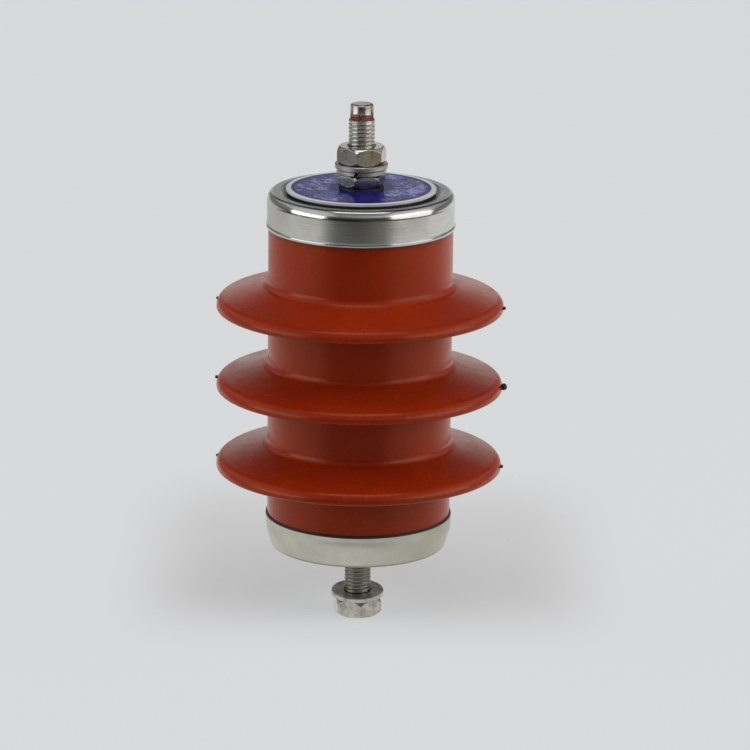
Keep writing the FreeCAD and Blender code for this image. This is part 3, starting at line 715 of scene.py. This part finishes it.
def studio_world():
    """A pale room behind the object, a dark one in front of it, and a window on each side."""
    world = bpy.data.worlds.new("studio")
    bpy.context.scene.world = world
    world.use_nodes = True
    tree = Tree(world.node_tree)
    tree.nodes.clear()
    way = tree.add("ShaderNodeTexCoord").outputs["Generated"]
    x, y, z = tree.add("ShaderNodeSeparateXYZ", {0: way}).outputs
    aside = tree.math("ABSOLUTE", x)
    path = tree.add("ShaderNodeLightPath")
    dimmed = tree.ramp(path.outputs["Is Diffuse Ray"], 0.0, 1.0, 1.0, DIFFUSE_SHARE)

    backdrop = tree.ramp(z, 0.24, 0.42, 0.73, 0.09)
    backdrop = tree.product(backdrop, tree.ramp(aside, 0.10, 0.34, 1.0, 0.30))
    skirting = tree.product(tree.ramp(z, 0.0, 0.10, 1.0, 0.0), tree.ramp(y, 0.40, 0.62, 1.0, 0.0))
    behind = tree.product(tree.ramp(y, -0.2, 0.4), tree.ramp(skirting, 0.0, 1.0, 1.0, 0.25))
    behind = tree.product(behind, backdrop)

    ceiling = tree.product(tree.ramp(z, 0.28, 0.40), tree.ramp(z, 0.45, 0.60, 1.0, 0.0))
    ceiling = tree.product(ceiling, tree.ramp(x, -0.5, 0.6, 0.07, 0.38))
    front = tree.total(tree.ramp(z, 0.05, 0.50, 0.02, 0.26), ceiling)
    front = tree.product(tree.ramp(y, -0.2, 0.4, 1.0, 0.0), tree.product(front, dimmed))

    windows = tree.product(tree.ramp(z, 0.26, 0.36, 0.0, 0.42), tree.ramp(z, 0.84, 0.90, 1.0, 0.0))
    windows = tree.product(windows, tree.ramp(aside, 0.44, 0.58))
    windows = tree.product(windows, dimmed)

    tone = tree.total(tree.total(behind, windows), front)
    room = tree.add("ShaderNodeBackground", {0: tone}).outputs[0]
    seen = tree.add("ShaderNodeBackground", {0: as_colour(WORLD_GREY)}).outputs[0]
    both = tree.shader_mix(path.outputs["Is Camera Ray"], room, seen)
    tree.add("ShaderNodeOutputWorld", {0: both})


LAMPS_AIM = Vector((0, 0, 0.10))


def softbox(name, azimuth, elevation, distance, width, height, power, roll=0, mirrored=True):
    """A soft lamp. Azimuth 0 is on the camera's side and 90 on its right."""
    turn, rise = math.radians(azimuth), math.radians(elevation)
    way = Vector(
        (math.sin(turn) * math.cos(rise), -math.cos(turn) * math.cos(rise), math.sin(rise))
    )
    lamp = bpy.data.lights.new(name, "AREA")
    lamp.shape = "RECTANGLE"
    lamp.size, lamp.size_y = width, height
    lamp.energy = power
    made = bpy.data.objects.new(name, lamp)
    made.location = LAMPS_AIM + way * distance
    made.rotation_mode = "QUATERNION"
    upright = (-way).to_track_quat("-Z", "Y")
    made.rotation_quaternion = upright @ Quaternion((0, 0, 1), math.radians(roll))
    made.visible_glossy = mirrored
    bpy.context.scene.collection.objects.link(made)


PHOTO_PIXELS = 750
FOCAL_PIXELS = 4616
SENSOR_WIDTH = 36.0
CAMERA_FOCUS = Vector((5.9, 0.0, 94.63)) * MM
CAMERA_DISTANCE = 1.755
CAMERA_RISE = math.radians(15.3)
CAMERA_ROLL = math.radians(0.6)


def place_camera():
    """The photo's own camera."""
    across = Vector((1, 0, 0))
    ahead = Vector((0, math.cos(CAMERA_RISE), -math.sin(CAMERA_RISE)))
    upward = Vector((0, math.sin(CAMERA_RISE), math.cos(CAMERA_RISE)))
    right = across * math.cos(CAMERA_ROLL) + upward * math.sin(CAMERA_ROLL)
    top = upward * math.cos(CAMERA_ROLL) - across * math.sin(CAMERA_ROLL)
    spot = CAMERA_FOCUS - ahead * CAMERA_DISTANCE
    lens = bpy.data.cameras.new("camera")
    lens.sensor_width = SENSOR_WIDTH
    lens.lens = SENSOR_WIDTH * FOCAL_PIXELS / PHOTO_PIXELS
    lens.clip_start, lens.clip_end = 0.05, 50.0
    camera = bpy.data.objects.new("camera", lens)
    frame_axes = Matrix((right, top, -ahead)).transposed().to_4x4()
    camera.matrix_world = Matrix.Translation(spot) @ frame_axes
    bpy.context.scene.collection.objects.link(camera)
    bpy.context.scene.camera = camera


stage_floor()
studio_world()
softbox("left_softbox", -68, 8.5, 1.3, 1.15, 0.46, 3.6)
softbox("right_softbox", 67, 13, 1.3, 1.45, 0.62, 4.2, roll=-7)
softbox("left_fill", -100, 20, 1.3, 0.8, 0.66, 5.6, mirrored=False)
softbox("right_fill", 100, 20, 1.3, 0.8, 0.66, 6.7, mirrored=False)
softbox("top_fill", 0, 62, 1.5, 1.2, 1.0, 3.9, mirrored=False)
softbox("top_strip", 0, 77, 1.6, 1.2, 0.45, 3.7)
place_camera()
bpy.context.scene.view_settings.view_transform = "Standard"
